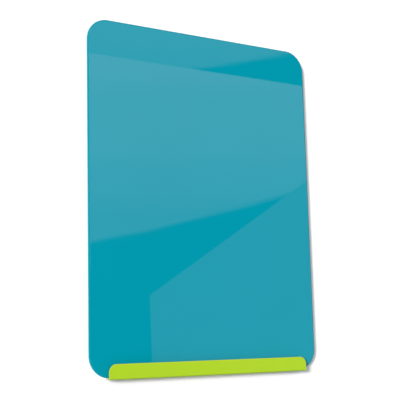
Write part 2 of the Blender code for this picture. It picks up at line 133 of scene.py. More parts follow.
def mixColours(tree, share, under, over):
    mix = addNode(tree, "ShaderNodeMix", {"Factor": share}, data_type="RGBA")
    for name, value in {"A": under, "B": over}.items():
        socket = next(s for s in mix.inputs if s.name == name and s.type == "RGBA")
        fill(tree, socket, (*value, 1) if isinstance(value, tuple) else value)
    return next(s for s in mix.outputs if s.type == "RGBA")


patternShift = (0.31, 0.17, 0.23)   # metres from one piece's pattern to the next one's


def startMaterial(name, finish):
    # A Principled material and its patterns. They read the piece's own coordinates plus its
    # number times the shift, so that no pattern runs on from one piece to its neighbour.
    material = bpy.data.materials.new(name)
    material.use_nodes = True
    tree = material.node_tree
    for socket, value in finish["constants"].items():
        fill(tree, tree.nodes["Principled BSDF"].inputs[socket], value)
    own = addNode(tree, "ShaderNodeTexCoord").outputs["Object"]
    place = moved(tree, own, readNumber(tree, "pieceNumber"), patternShift)
    values = {key: noisePattern(tree, place, *row) for key, row in finish["patterns"].items()}
    return material, finish, {**values, "place": place}


def finishMaterial(material, finish, values):
    # Every layer of colour and every relief lies over the one before.
    tree = material.node_tree
    surface, colour, below = tree.nodes["Principled BSDF"].inputs, finish["colour"], {}
    for key, (over, *spread) in finish["layers"].items():
        value = values[key] if key in values else readNumber(tree, key)
        colour = mixColours(tree, toRange(tree, value, *spread), colour, over)
    fill(tree, surface["Base Color"], colour)
    for key, spread in finish["roughness"].items():
        fill(tree, surface["Roughness"], toRange(tree, values[key], *spread))
    for key, height in finish["relief"].items():
        bump = addNode(tree, "ShaderNodeBump", {
            "Height": values[key], "Distance": height, "Strength": 1, **below})
        below = {"Normal": bump.outputs["Normal"]}
    fill(tree, surface["Normal"], below["Normal"])
    return material


tealFinish = {
    "constants": {"Specular IOR Level": 0.5},
    "colour": (0.0006, 0.336, 0.447),
    "layers": {
        "depth": ((0.0005, 0.326, 0.436), 0, 1),
        # painted shade: a darker teal on the rounded rim, darkest where it faces sideways
        "edge": ((0.0005, 0.290, 0.370), 0, 1, 0, 1),
    },
    "roughness": {"wiped": (0.012, 0.030, 0, 1)},
    "relief": {"waves": 0.000012, "peel": 0.0000003},
    "patterns": {
        "depth": (3, 2),
        "strokes": (16, 4, (0.16, 1, 1), (0, 14, 0), 0.6),
        "patches": (4, 2),
        "waves": (3.2, 1),           # slow waves of the sheet, about 0.3 m long
        "peel": (340, 2),            # the coating's orange peel, about 3 mm long
    },
}


def makeTealGloss():
    # Dry-erase lacquer on steel: deep even colour, mirror gloss, faint strokes left by wiping, and a darker
    # teal painted on the rounded rim as shade.
    material, finish, values = startMaterial("tealGloss", tealFinish)
    tree = material.node_tree
    strokes, patches = (toRange(tree, values[key]) for key in ("strokes", "patches"))
    values["wiped"] = calculate(tree, "MULTIPLY", strokes, patches)
    return finishMaterial(material, finish, values)


limeFinish = {
    "constants": {"Specular IOR Level": 0.4},
    "colour": (0.452, 0.700, 0.014),
    "layers": {
        "mottle": ((0.440, 0.690, 0.013), 0, 1),
        # painted highlight: a paler, yellower lime on the rounded edges
        "edge": ((0.560, 0.700, 0.022), 0, 1, 0, 1),
    },
    "roughness": {"mottle": (0.30, 0.42)},
    "relief": {"peel": 0.00022, "grain": 0.00003},
    "patterns": {
        "mottle": (38, 3),
        "peel": (650, 2),            # orange peel of the powder, about 1.5 mm long
        "grain": (3200, 1),
    },
}


def makeLimePowder():
    # Semi-gloss powder coat: fine orange peel, a little mottling, and a paler, yellower colour painted on
    # the edges as a highlight.
    return finishMaterial(*startMaterial("limePowder", limeFinish))


galvanisedFinish = {
    "constants": {"Metallic": 0.9},
    "colour": (0.40, 0.425, 0.44),       # of the dullest crystals
    "layers": {
        "brightness": ((0.585, 0.605, 0.62), 0, 1, 0, 1),
        "edge": ((0.33, 0.31, 0.29), 0, 1, 0, 1),
    },
    "roughness": {"gloss": (0.32, 0.52, 0, 1)},
    "relief": {"swell": 0.00020, "feathers": 0.00020 / 6},
    "crystals": 72,                      # a metre
    "raggedness": 0.0055,                # how far the crystals' borders wander
    "wander": {"Scale": 160, "Detail": 3},
    "streakShade": 0.55,                 # brightness left in the dullest streak
    "featherShine": 0.14,                # brightness that the feathers add and take away
    "channelPaintedLight": 0.35,                # brightness painted onto the channels over the back sheet: painted light that sets them apart
    "patterns": {
        "feathers": (520, 4, (1, 1, 0.25), (0, 35, 0), 0.8),
        "streaks": (22, 5, (1, 1, 0.2), (0, 8, 0), 0.4),
    },
}


def makeGalvanised():
    # Hot-dipped zinc: ragged crystals of unlike brightness and gloss, feathery inside, with dull
    # streaks and bare cut edges. The channels are painted brighter than the back sheet as painted light.
    material, finish, values = startMaterial("galvanisedZinc", galvanisedFinish)
    tree, place = material.node_tree, values["place"]
    wander = addNode(tree, "ShaderNodeTexNoise", {"Vector": place, **finish["wander"]})
    ragged = moved(tree, place, wander.outputs["Color"], (finish["raggedness"],) * 3)
    crystals = addNode(tree, "ShaderNodeTexVoronoi", {"Vector": ragged, "Scale": finish["crystals"]})
    facets = addNode(tree, "ShaderNodeSeparateColor", {"Color": crystals.outputs["Color"]})
    streaks = toRange(tree, values["streaks"], finish["streakShade"])
    brightness = calculate(tree, "MULTIPLY", facets.outputs["Red"], streaks)
    shine = finish["featherShine"]
    # Painted light: the channels are painted brighter than the back sheet. The back sheet is a CAD node, so
    # its piece number is 0.
    channel = toRange(tree, readNumber(tree, "pieceNumber"), 0, finish["channelPaintedLight"], 0, 1)
    for added in (toRange(tree, values["feathers"], -shine, shine), channel):
        brightness = calculate(tree, "ADD", brightness, added)
    values.update(
        brightness=brightness, gloss=facets.outputs["Green"], swell=crystals.outputs["Distance"])
    return finishMaterial(material, finish, values)


zincFinish = {
    "constants": {"Metallic": 1},
    "colour": (0.66, 0.67, 0.67),
    "layers": {
        "clouds": ((0.56, 0.60, 0.66), 0, 1),
        "marks": ((0.47, 0.47, 0.46), 0, 0.6, 0.5, 0.8),
        "edge": ((0.74, 0.74, 0.73), 0, 1, 0, 1),
    },
    "roughness": {"marks": (0.24, 0.42)},
    "relief": {"brushing": 0.00007},
    "patterns": {
        "clouds": (42, 4, (1, 1, 1), (0, 0, 0), 0.8),
        "marks": (150, 5),
        "brushing": (1500, 3, (0.04, 1, 1)),
    },
}


def makeZincPlate():
    # Bright zinc plate: clouds of pale blue, dull handling marks, fine brushing, polished edges.
    return finishMaterial(*startMaterial("zincPlate", zincFinish))


rubberFinish = {
    "constants": {"Specular IOR Level": 0.35},
    "colour": (0.024, 0.024, 0.026),
    "layers": {"dust": ((0.085, 0.083, 0.080), 0, 0.7, 0.5, 0.75)},
    "roughness": {"grain": (0.70, 0.92)},
    "relief": {"grain": 0.00008},
    "patterns": {"dust": (420, 6), "grain": (2600, 3)},
}


def makeRubber():
    # Moulded black rubber with a fine grain and patches of dust.
    return finishMaterial(*startMaterial("mouldedRubber", rubberFinish))


paperFinish = {
    "constants": {"Roughness": 0.92},
    "colour": (0.27, 0.180, 0.100),
    "layers": {"fibres": ((0.37, 0.255, 0.150), 0, 1, 0.12, 0.4)},
    "roughness": {},
    "relief": {"fibres": 0.000080},
    "patterns": {
        "along": (420, 4, (0.08, 1, 1), (0, 20, 0)),
        "across": (420, 4, (1, 1, 0.08), (0, -15, 0)),
    },
}


def makePaperCore():
    # Pressed paper board: long fibres in two directions.
    material, finish, values = startMaterial("paperBoard", paperFinish)
    values["fibres"] = calculate(
        material.node_tree, "MULTIPLY", values["along"], values["across"])
    return finishMaterial(material, finish, values)


glueFinish = {
    "constants": {"Specular IOR Level": 0.4},
    "colour": (0.46, 0.45, 0.41),
    "layers": {"lumps": ((0.60, 0.59, 0.55), 0, 1)},
    "roughness": {"lumps": (0.34, 0.58)},
    "relief": {"lumps": 0.00015},
    "patterns": {"lumps": (210, 3)},
}


def makeGlue():
    # Cured sealant that was pressed out beside the channels.
    return finishMaterial(*startMaterial("curedGlue", glueFinish))


finishes = {
    "teal_paint": makeTealGloss(),
    "lime_powder_coat": makeLimePowder(),
    "galvanised_steel": makeGalvanised(),
    "zinc_plate": makeZincPlate(),
    "rubber": makeRubber(),
    "paper_core": makePaperCore(),
}
glue = makeGlue()
print("materials made:", len(finishes) + 1)


# Surfaces. Each is a grid of points, rows x columns x 3, with an edge share for each point.

def softStep(distance, width):
    # From 0 to 1 over the width, and a half where the distance is 0: 3t² - 2t³ for
    # t = distance / width + 1/2.
    share = np.clip(distance / width + 0.5, 0, 1)
    return share * share * (3 - 2 * share)


def pointsOf(*coordinates):
    # Points from their coordinates, each a number, a row or a grid.
    return np.stack(np.broadcast_arrays(*coordinates), axis=-1)


def unit(vectors):
    return vectors / np.linalg.norm(vectors, axis=-1, keepdims=True)


def closed(grid):
    # The grid with its first column once more at its end.
    return np.concatenate([grid, grid[:, :1]], axis=1)


def evenly(low, high, count):
    return np.linspace(low, high, count + 1)


def between(first, last, share):
    return first + share * (last - first)


def quarterTurn(steps):
    return evenly(0, pi / 2, steps)


def easeOut(steps):
    # From 0 to 1 as a sine rises, closer together towards 1.
    return np.sin(quarterTurn(steps))


def joinRows(*runs):
    # One rising row of numbers from several, with each number once.
    return np.unique(np.round(np.concatenate(runs), meshRules["rowDigits"]))


def nearest(row, value):
    # The number of the place in the row that is nearest to the value.
    return int(np.argmin(np.abs(row - value)))


def behindEnds(low, high):
    # Both ends and the rows close behind them.
    rows = np.append(0, meshRules["edgeRows"])
    return np.concatenate([low + rows, high - rows])


def cornerColumns(half, corner, edge, steps):
    # Columns over the round corners on both sides, closer together towards the edge.
    columns = half - corner + (corner - edge) * easeOut(steps)
    return np.concatenate([-columns, columns])


def roundedEnd(x, half, corner, edge):
    # How far a blank's outline is cut back at x by a round corner: R - sqrt((R - e)² - reach²),
    # with reach counted from the corner's centre, and the whole outline drawn in by e.
    reach = np.maximum(np.abs(x) - (half - corner), 0)
    return corner - np.sqrt(np.maximum((corner - edge) ** 2 - reach ** 2, 0))


def measure(node):
    # A CAD node's two corners, and its middle and half size in (x, z).
    low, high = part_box(node)
    ends = np.array([(low.x, low.z), (high.x, high.z)])
    return low, high, (ends[0] + ends[1]) / 2, (ends[1] - ends[0]) / 2


def lengthAndWidth(node):
    # Whether a CAD node stands upright, and its two ends along its length and across it.
    low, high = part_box(node)
    level, up = (low.x, high.x), (low.z, high.z)
    upright = high.z - low.z > high.x - low.x
    return (upright, up, level) if upright else (upright, level, up)


def standUp(drawing, y):
    # A drawing in (x, z) becomes points at the depth y.
    return pointsOf(drawing[..., 0], y, drawing[..., 1])


def turned(radius, y, steps, centre):
    # Rows of radius and y, carried round the Y axis through the centre (x, z).
    angle = np.linspace(0, 2 * pi, steps, endpoint=False)
    return pointsOf(centre[0] + radius * np.cos(angle), y, centre[1] + radius * np.sin(angle))


def cellCorners(rows, columns, first, looped):
    # Numbers of the four corners of every cell. A looped grid joins its last column to its first.
    index = first + np.arange(rows * columns).reshape(rows, columns)
    index = closed(index) if looped else index
    corners = [index[:-1, :-1], index[:-1, 1:], index[1:, 1:], index[1:, :-1]]
    return np.stack(corners, axis=-1).reshape(-1, 4)


def meshObject(name, points, faces, material):
    mesh = bpy.data.meshes.new(name)
    mesh.from_pydata(points.reshape(-1, 3).tolist(), [], faces.tolist())
    mesh.materials.append(material)
    item = bpy.data.objects.new(name, mesh)
    bpy.context.scene.collection.objects.link(item)
    return item


def keepNumber(mesh, name, values):
    # One number for each point, which materials read by its name.
    numbers = mesh.attributes.new(name, "FLOAT", "POINT")
    numbers.data.foreach_set("value", values.reshape(-1).astype(np.float32))


pieces = []


def addPiece(name, grids, material, body="board"):
    # Joins grids, each (points, edge shares, looped), into one closed mesh that rides on a body.
    points, shares, faces, count = [], [], [], 0
    for grid, share, looped in grids:
        rows, columns = grid.shape[:2]
        points.append(grid.reshape(-1, 3))
        shares.append(np.broadcast_to(share, (rows, columns)).reshape(-1))
        faces.append(cellCorners(rows, columns, count, looped))
        count += rows * columns
    piece = meshObject(name, np.concatenate(points), np.concatenate(faces), material)
    mesh = piece.data
    keepNumber(mesh, "edge", np.concatenate(shares))
    keepNumber(mesh, "pieceNumber", np.full(count, len(pieces)))
    maker = bmesh.new()
    maker.from_mesh(mesh)
    bmesh.ops.remove_doubles(maker, verts=maker.verts, dist=meshRules["mergeDistance"])
    bmesh.ops.dissolve_degenerate(maker, edges=maker.edges, dist=meshRules["mergeDistance"])
    bmesh.ops.recalc_face_normals(maker, faces=maker.faces)
    maker.to_mesh(mesh)
    maker.free()
    mesh.shade_smooth()
    mesh.set_sharp_from_angle(angle=radians(meshRules["sharpAngle"]))
    flat = piece.modifiers.new("flatFaces", "WEIGHTED_NORMAL")
    flat.weight, flat.keep_sharp = meshRules["flatWeight"], True
    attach(piece, body)
    pieces.append(piece)
    return piece


def dressNode(node, grids, slot, body="board"):
    # The new piece takes a CAD node's place and name: marker_tray becomes markerTray.
    first, *others = node.split("_")
    name = first + "".join(word.capitalize() for word in others)
    piece = addPiece(name, grids, finishes[slot], body)
    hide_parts(node)


def outline(grid):
    # The points on a flat grid's outer edge, clockwise, each once; its first row is the top one.
    return np.concatenate([grid[0, :-1], grid[:-1, -1], grid[-1, :0:-1], grid[:0:-1, 0]])


def outwards(loop):
    # Unit vectors to the left of a clockwise loop, square to the line between two neighbours.
    run = np.roll(loop, -1, axis=0) - np.roll(loop, 1, axis=0)
    return unit(pointsOf(-run[:, 1], run[:, 0]))


def clockwise(loop):
    following = np.roll(loop, -1, axis=0)
    area = (loop[:, 0] * following[:, 1] - following[:, 0] * loop[:, 1]).sum()
    return loop if area < 0 else loop[::-1]


def roundedPolygon(corners, radius, steps):
    # Each corner becomes an arc that meets both sides: centre + radius*(cos(a), sin(a)), with
    # the centre on the corner's halving line, radius / sin(half the corner) from the corner.
    corners = clockwise(np.array(corners, float))
    before = unit(np.roll(corners, 1, axis=0) - corners)
    after = unit(np.roll(corners, -1, axis=0) - corners)
    halving = unit(before + after)
    sine = np.sqrt((1 - (before * after).sum(axis=1)) / 2)[:, None]
    centre = corners + halving * radius / sine
    middle = np.arctan2(-halving[:, 1], -halving[:, 0])[:, None]
    spread = (pi / 2 - np.arcsin(sine)) * np.linspace(1, -1, steps + 1)
    arcs = pointsOf(np.cos(middle + spread), np.sin(middle + spread))
    return clockwise((centre[:, None] + radius * arcs).reshape(-1, 2))


# Folded sheet metal

def nearEdge(points, loops, reach):
    # exp(-(d / reach)²), where d is the distance to the nearest point of a loop.
    rim = np.concatenate(loops)
    distance = np.linalg.norm(points[..., None, :] - rim, axis=-1).min(axis=-1)
    return np.exp(-(distance / reach) ** 2)


def sheetGrids(blocks, loops, sheet, edge, place):
    # A flat blank of sheet metal, carried to its place by a function that may fold it. Its faces
    # are the blocks, half the sheet's thickness off the middle. At angle a its rounded edge lies
    # edge*sin(a) outside the loop and edge*(1 - cos(a)) below the face, likewise on the other face.
    grids = []
    for block in blocks:
        share = nearEdge(block, loops, meshRules["wearAndHighlightWidth"] * sheet)
        grids.append((place(block, sheet / 2), share, False))
        grids.append((place(block, -sheet / 2), share, False))
    turn = quarterTurn(meshRules["edgeSteps"])
    out = edge * np.sin(turn)
    depth = sheet / 2 - edge * (1 - np.cos(turn))
    out = np.concatenate([out, out[::-1]])[:, None, None]
    depth = np.concatenate([depth, -depth[::-1]])[:, None]
    for loop in loops:
        grids.append((place(loop + out * outwards(loop), depth), 1.0, True))
    return grids


def foldLine(corners, bend):
    # Middle line of a folded sheet in (y, z): straight legs, and round each corner the arc
    # centre - out*bend*cos(a) - back*bend*sin(a), where back and out point along the two legs.
    # Gives its points, its unit normals and the running length at each point.
    corners = np.array(corners, float)
    turn = quarterTurn(meshRules["bendSteps"])[:, None]
    points, tangents = [corners[:1]], [unit(corners[1:2] - corners[:1])]
    for before, here, after in zip(corners, corners[1:], corners[2:]):
        back, out = unit(before - here), unit(after - here)
        centre = here + (back + out) * bend
        points.append(centre - out * bend * np.cos(turn) - back * bend * np.sin(turn))
        tangents.append(out * np.sin(turn) - back * np.cos(turn))
    points.append(corners[-1:])
    tangents.append(tangents[-1][-1:])
    points, tangents = np.concatenate(points), np.concatenate(tangents)
    length = np.concatenate([[0], np.cumsum(np.linalg.norm(np.diff(points, axis=0), axis=1))])
    normals = pointsOf(-tangents[:, 1], tangents[:, 0])
    return {"points": points, "normals": normals, "length": length}


def blankOf(x, lengths):
    # A blank hangs down from 0: at the length s along the fold line its points are (x, -s).
    return pointsOf(x, -lengths)


def foldAt(line, centre=0, upright=False):
    # The function that folds a blank along a line: (x, -s) at a depth goes to x and to the line's
    # point at length s, moved by the depth along the line's normal. Upright pieces run along Z.
    def place(blank, depth):
        y, z, normalY, normalZ = [
            np.interp(-blank[..., 1], line["length"], column)
            for column in (*line["points"].T, *line["normals"].T)]
        y, z, across = y + depth * normalY, z + depth * normalZ, centre + blank[..., 0]
        return pointsOf(z, y, across) if upright else pointsOf(across, y, z)
    return place


# Writing panel

panelShape = {
    "cornerRadius": 0.075,
    "frontRim": (0.0052, 0.0025),   # how far in and how deep the front edge rolls over
    "backRim": 0.001,
    "hemWidth": 0.012,
    "sheet": 0.0006,
    "cornerSteps": 24,
    "columns": 26,
    "rows": 44,
    "rimSteps": 6,
    "support": 0.0004,       # the last row's distance from the edge
}


def roundedFace(halfWidth, halfHeight, radius, shape):
    # Columns at x from top to bottom, as high as the outline there: past the corner's centre
    # the half height falls as its circle does. A row close to each end keeps the face flat.
    core = halfWidth - radius
    x = joinRows(
        cornerColumns(halfWidth, radius, 0, shape["cornerSteps"]), evenly(-core, core, shape["columns"]))
    reach = np.maximum(np.abs(x) - core, 0)
    top = halfHeight - radius + np.sqrt(np.maximum(radius ** 2 - reach ** 2, 0))
    support = 1 - shape["support"] / halfHeight
    share = joinRows(evenly(-1, 1, shape["rows"]), [-support, support])[::-1, None]
    return pointsOf(x, share * top)


def makePanel():
    # A pan: the flat face, then one section carried round the rounded rectangle (elliptic front
    # rim, back rim, hem with its half-round edge, and the inside), then the inner face. Each part
    # of the section is how far in it lies and how deep.
    shape = panelShape
    low, high, centre, size = measure("writing_panel")
    front, back, sheet, radius = low.y, high.y, shape["sheet"], shape["cornerRadius"]
    (rim, rimDepth), backRim = shape["frontRim"], shape["backRim"]
    face = roundedFace(*(size - rim), radius - rim, shape)
    loop = outline(face)
    normal = unit(loop - np.clip(loop, radius - size, size - radius))

    turn, half = quarterTurn(shape["rimSteps"]), evenly(0, pi, shape["rimSteps"])
    hem, hemBack, frontBack = shape["hemWidth"] - sheet / 2, back - sheet / 2, front + rimDepth
    parts = [
        (rim - rim * np.sin(turn), frontBack - rimDepth * np.cos(turn)),
        (backRim - backRim * np.cos(turn), back - backRim + backRim * np.sin(turn)),
        (hem + sheet / 2 * np.sin(half), hemBack + sheet / 2 * np.cos(half)),
        ([sheet, sheet], [back - sheet, frontBack]),
        (rim - (rim - sheet) * np.sin(turn[::-1]), frontBack - (rimDepth - sheet) * np.cos(turn[::-1])),
    ]
    inset, depth = np.concatenate(parts, axis=1)
    # The edge share is 1 where the rims face sideways, and the teal paint makes it painted shade there.
    edge = np.zeros(len(inset))
    edge[:2 * len(turn)] = np.concatenate([np.sin(turn), np.cos(turn)])
    section = loop + (rim - inset)[:, None, None] * normal + centre
    grids = [(standUp(section, depth[:, None]), edge[:, None], True)]
    for y in (front, front + sheet):
        grids.append((standUp(face + centre, y), 0.0, False))
    dressNode("writing_panel", grids, "teal_paint")


# Marker tray

trayShape = {
    "sheet": 0.002,
    "bend": 0.004,
    "lipHeight": 0.0505,
    "lipCorner": 0.027,
    "flangeHalf": 0.320,
    "flangeCorner": 0.006,
    "edge": 0.0007,
    "lipShares": (0, 0.03, 0.08, 0.16, 0.28, 0.42, 0.58, 0.78, 1),
    "lipSteps": 16,
    "floorSteps": 5,
    "backSteps": 2,
    "flangeSteps": 6,
    "columns": 40,
    "columnMargin": 0.010,   # from the flange's ends to the even columns
}


def makeTray():
    # One blank, longer in front than behind, folded twice: lip, floor and flange. Just behind the
    # panel it is cut in to the flange's length. The upper corners of lip and flange are round.
    shape, count = trayShape, meshRules["bendSteps"]
    low, high, _, (half, _) = measure("marker_tray")
    sheet, edge, bend, flangeHalf = (shape[key] for key in ("sheet", "edge", "bend", "flangeHalf"))
    lipY, flangeY, floorZ = low.y + sheet / 2, high.y - sheet / 2, low.z + sheet / 2
    line = foldLine(
        [(lipY, low.z + shape["lipHeight"]), (lipY, floorZ), (flangeY, floorZ), (flangeY, high.z)], bend)
    length = line["length"]
    firstBend, secondBend = length[1:count + 2], length[count + 2:2 * count + 3]
    cutLength = firstBend[-1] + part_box("writing_panel")[1].y - (lipY + bend) - edge

    evenHalf = flangeHalf - shape["columnMargin"]
    x = joinRows(
        cornerColumns(half, shape["lipCorner"], edge, shape["lipSteps"]),
        cornerColumns(flangeHalf, shape["flangeCorner"], edge, shape["flangeSteps"]),
        evenly(-evenHalf, evenHalf, shape["columns"]))
    start = roundedEnd(x, half, shape["lipCorner"], edge)
    flangeX = np.minimum(np.abs(x), flangeHalf - edge)
    end = length[-1] - roundedEnd(flangeX, flangeHalf, shape["flangeCorner"], edge)
    lip = between(start, firstBend[0], np.array(shape["lipShares"])[:, None])
    floor = np.concatenate([
        firstBend[1:], between(firstBend[-1], cutLength, easeOut(shape["floorSteps"])[1:]),
        evenly(cutLength, secondBend[0], shape["backSteps"])[1:], secondBend[1:]])
    flange = between(secondBend[-1], end, easeOut(shape["flangeSteps"])[1:, None])
    blank = blankOf(x, np.concatenate([lip, floor[:, None] * np.ones_like(x), flange]))

    cut = len(shape["lipShares"]) + count + shape["floorSteps"] - 1
    left, right = nearest(x, edge - flangeHalf), nearest(x, flangeHalf - edge)
    loop = np.concatenate([
        blank[0, :-1], blank[:cut, -1], blank[cut, :right:-1], blank[cut:-1, right],
        blank[-1, right:left:-1], blank[:cut:-1, left], blank[cut, left:0:-1], blank[cut:0:-1, 0]])
    blocks = [blank[:cut + 1], blank[cut:, left:right + 1]]
    dressNode("marker_tray", sheetGrids(blocks, [loop], sheet, edge, foldAt(line)), "lime_powder_coat")


# Channels behind the board

channelShape = {
    "sheet": 0.001,
    "bend": 0.0012,
    "lip": 0.008,
    "edge": 0.00025,
    "columns": 30,
}
channels = ("top_rail", "bottom_rail", "centre_brace", "left_stile", "right_stile")


def makeChannel(node):
    # A lipped channel: the blank is a plain rectangle, folded four times along its length.
    shape = channelShape
    sheet, edge = shape["sheet"], shape["edge"]
    upright, span, width = lengthAndWidth(node)
    low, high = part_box(node)
    half, side = (span[1] - span[0]) / 2 - edge, (width[1] - width[0]) / 2 - sheet / 2
    lip = side + sheet / 2 - shape["lip"]
    front, back = low.y + sheet / 2, high.y - sheet / 2
    section = [(front, lip), (front, side), (back, side), (back, -side), (front, -side), (front, -lip)]
    line = foldLine([(y, sum(width) / 2 + across) for y, across in section], shape["bend"])
    s = joinRows(line["length"][1:-1], behindEnds(edge, line["length"][-1] - edge))
    x = joinRows(evenly(-half, half, shape["columns"]), behindEnds(-half, half))
    blank = blankOf(x, s[:, None])
    place = foldAt(line, sum(span) / 2, upright)
    dressNode(node, sheetGrids([blank], [outline(blank)], sheet, edge, place), "galvanised_steel")


# Gussets

gussetShape = {
    "strip": 0.026,    # width of each leg
    "corner": 0.003,
    "edge": 0.0004,
    "cornerSteps": 6,
    "faceSteps": 8,
}


def makeGusset(level, side):
    # A flat plate with five corners. Its face runs in from the outline to the middle point.
    node, shape = "gusset_" + level + "_" + side, gussetShape
    low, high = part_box(node)
    strip, edge, leg, middleY = shape["strip"], shape["edge"], high.x - low.x, (high.y + low.y) / 2
    outer = (high.x if side == "right" else low.x, high.z if level == "top" else low.z)
    inwards = (-1 if side == "right" else 1, -1 if level == "top" else 1)
    plate = np.array([(0, 0), (leg, 0), (leg, strip), (strip, leg), (0, leg)]) * inwards + outer
    rounded = roundedPolygon(plate, shape["corner"], shape["cornerSteps"])
    loop = rounded - edge * outwards(rounded)
    middle = loop.mean(axis=0)
    face = between(middle, loop, easeOut(shape["faceSteps"])[:, None, None])
    grids = sheetGrids([closed(face)], [loop], high.y - low.y, edge,
                       lambda drawing, depth: standUp(drawing, middleY + depth))
    dressNode(node, grids, "zinc_plate")


# Hangers

hangerShape = {
    "sheet": 0.0015,
    "bend": 0.00125,
    "hookDepth": 0.011,
    "hookCorner": 0.003,
    "flangeCorner": 0.005,
    "edge": 0.0004,
    "cornerSteps": 6,
    "flangeSteps": 6,
    "hookSteps": 5,
    "evenHalf": 0.020,       # half the stretch of even columns
    "columns": 10,
}


def makeHanger(node):
    # A hook: a flange on the top rail, a step towards the wall and a lip that points down.
    shape = hangerShape
    low, high, (centre, _), (half, _) = measure(node)
    sheet, edge, evenHalf = shape["sheet"], shape["edge"], shape["evenHalf"]
    hookY, flangeY = high.y - sheet / 2, low.y + sheet / 2
    step = low.z + shape["hookDepth"] + sheet / 2
    line = foldLine([(flangeY, high.z), (flangeY, step), (hookY, step), (hookY, low.z)], shape["bend"])
    length = line["length"]
    x = joinRows(
        cornerColumns(half, shape["flangeCorner"], edge, shape["cornerSteps"]),
        cornerColumns(half, shape["hookCorner"], edge, shape["cornerSteps"]),
        evenly(-evenHalf, evenHalf, shape["columns"]))
    start = roundedEnd(x, half, shape["flangeCorner"], edge)
    end = length[-1] - roundedEnd(x, half, shape["hookCorner"], edge)
    flange = between(start, length[1], 1 - easeOut(shape["flangeSteps"])[:0:-1, None])
    bends = length[1:-1, None] * np.ones_like(x)
    hook = between(length[-2], end, easeOut(shape["hookSteps"])[1:, None])
    blank = blankOf(x, np.concatenate([flange, bends, hook]))
    grids = sheetGrids([blank], [outline(blank)], sheet, edge, foldAt(line, centre))
    dressNode(node, grids, "zinc_plate")


# Wall rail

railShape = {
    "sheet": 0.0015,
    "bend": 0.00125,
    "flange": 0.028,
    "edge": 0.0004,
    "slotLength": 0.014,
    "slotWidth": 0.006,
    "slotEnd": 0.060,        # from a rail's end to its first slot
    "slotCount": 4,
    "fieldHalf": (0.012, 0.008),   # half the field of mesh round a slot
    "fieldCells": (12, 8),
    "slotSteps": 5,
    "gapCells": 8,
}


def makeWallRail():
    # A flange on the wall with a row of level slots, and a lip that stands off and points up.
    # Round each slot the mesh runs from the field's edge to the nearest point of the slot.
    shape = railShape
    low, high, _, (half, _) = measure("wall_rail")
    sheet, edge, step = shape["sheet"], shape["edge"], shape["flange"] / 2
    flangeY, lipY = high.y - sheet / 2, low.y + sheet / 2
    line = foldLine([(lipY, high.z), (lipY, step), (flangeY, step), (flangeY, -step)], shape["bend"])
    length = line["length"]
    centres = evenly(shape["slotEnd"] - half, half - shape["slotEnd"], shape["slotCount"] - 1)
    slotS = length[-1] - step            # the slots' place along the fold line
    (fieldX, fieldS), (cellsX, cellsS) = shape["fieldHalf"], shape["fieldCells"]
    fields = [evenly(centre - fieldX, centre + fieldX, cellsX) for centre in centres]
    gaps = [evenly(a[-1], b[0], shape["gapCells"]) for a, b in zip(fields, fields[1:])]
    x = joinRows(behindEnds(edge - half, half - edge), *fields, *gaps)
    s = joinRows(
        behindEnds(edge, length[-1] - edge), length[1:-1], evenly(slotS - fieldS, slotS + fieldS, cellsS))
    blank = blankOf(x, s[:, None])

    top, bottom = nearest(s, slotS - fieldS), nearest(s, slotS + fieldS)
    blocks, loops = [blank[:top + 1], blank[bottom:]], [outline(blank)]
    lefts, rights = ([nearest(x, field[end]) for field in fields] for end in (0, -1))
    for first, last in zip([0] + rights, lefts + [len(x) - 1]):
        blocks.append(blank[top:bottom + 1, first:last + 1])
    radius = shape["slotWidth"] / 2
    straight = shape["slotLength"] / 2 - radius
    share = 1 - easeOut(shape["slotSteps"])[::-1, None, None]
    for centre, left, right in zip(centres, lefts, rights):
        field = outline(blank[top:bottom + 1, left:right + 1])
        axis = pointsOf(np.clip(field[:, 0], centre - straight, centre + straight), -slotS)
        rim = axis + (radius + edge) * unit(field - axis)
        blocks.append(closed(between(rim, field, share)))
        loops.append(rim[::-1])
    grids = sheetGrids(blocks, loops, sheet, edge, foldAt(line))
    dressNode("wall_rail", grids, "zinc_plate", "wall_mount")


# Rivets and screws

def numbered(start):
    # The names of the CAD nodes that start so, in the order of their numbers.
    count = sum(name.startswith(start) for name in frame["nodes"])
    return [start + str(number) for number in range(1, count + 1)]


rivetShape = {
    "headRadius": 0.0038,
    "shankRadius": 0.0016,
    "holeRadius": 0.00115,
    "pinRadius": 0.00085,
    "pinDrop": 0.00045,
    "grooveDrop": 0.0008,
    "chamfer": 0.0001125,
    "turnSteps": 36,
    "domeSteps": 7,
}


def makeRivet(node, seat):
    # A blind rivet: a low dome with the broken pin sunk in its middle, on the plate that it holds.
    # The dome is a quarter of an ellipse from the hole out to the head's edge.
    shape = rivetShape
    low, high, centre, _ = measure(node)
    top, chamfer, turn = high.y, shape["chamfer"], quarterTurn(shape["domeSteps"])
    head, hole, pin, shank = (shape[key + "Radius"] for key in ("head", "hole", "pin", "shank"))
    pinTop, groove = top - shape["pinDrop"], top - shape["grooveDrop"]
    inside = [
        (0, pinTop), (pin - chamfer, pinTop), (pin, pinTop - chamfer), (pin, groove), (hole, groove),
        (hole, top - chamfer)]
    dome = pointsOf(hole + (head - hole) * np.sin(turn), seat + (top - seat) * np.cos(turn))
    profile = np.concatenate([inside, dome, [(shank, seat), (shank, low.y), (0, low.y)]])
    share = np.zeros(len(profile))
    share[len(inside):len(inside) + 2] = 1   # bright round the hole
    surface = turned(profile[:, :1], profile[:, 1:], shape["turnSteps"], centre)
    dressNode(node, [(surface, share[:, None], True)], "zinc_plate")


screwShape = {
    "headRadius": 0.0038,
    "shankRadius": 0.0019,
    "recessTurn": 37.5,        # degrees; a whole number of mesh steps, so that the arms stay even
    "armHalf": 0.00050,        # half the width of the cross's arms
    "armLength": 0.0021,
    "armDepth": 0.0013,
    "armRise": 0.35,           # share of the depth that is lost at the arms' tips
    "armSoftness": 0.00022,
    "turnSteps": 96,
    "faceSteps": 30,
}


